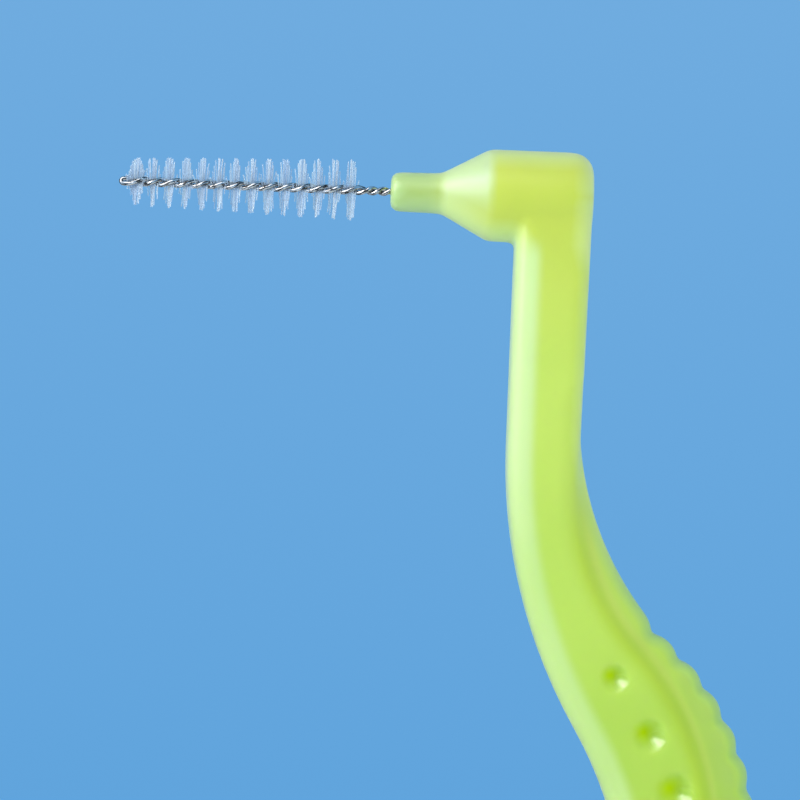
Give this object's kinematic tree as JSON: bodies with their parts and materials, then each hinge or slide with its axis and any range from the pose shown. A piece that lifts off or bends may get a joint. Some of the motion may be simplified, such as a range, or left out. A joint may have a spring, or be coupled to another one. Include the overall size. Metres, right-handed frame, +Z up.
{
  "type": "angled interdental brush",
  "caption": "Small L-shaped brush for cleaning between teeth: nylon filaments in a twisted wire, set across the end of a curved moulded handle with a dimpled, scalloped grip.",
  "frame": {"origin": "pinch point of the grip: the middle of the row of dimples, in the handle's middle plane", "axes": "+Z up along the handle towards the head, -X along the wire towards the brush's tip, Y across the flat sides"},
  "size_m": [0.0341, 0.0048, 0.0624],
  "materials": {
    "handle_plastic": "satin, lime green, slightly translucent polypropylene",
    "wire_steel": "bright drawn stainless wire",
    "nylon_filament": "clear to white nylon filament"
  },
  "bodies": {
    "root": {"handle": "handle_plastic", "wire_core": "wire_steel", "bristle_row_01": "nylon_filament", "bristle_row_02": "nylon_filament", "bristle_row_03": "nylon_filament", "bristle_row_04": "nylon_filament", "bristle_row_05": "nylon_filament", "bristle_row_06": "nylon_filament", "bristle_row_07": "nylon_filament", "bristle_row_08": "nylon_filament", "bristle_row_09": "nylon_filament", "bristle_row_10": "nylon_filament", "bristle_row_11": "nylon_filament", "bristle_row_12": "nylon_filament", "bristle_row_13": "nylon_filament", "bristle_row_14": "nylon_filament"}
  },
  "joints": []
}
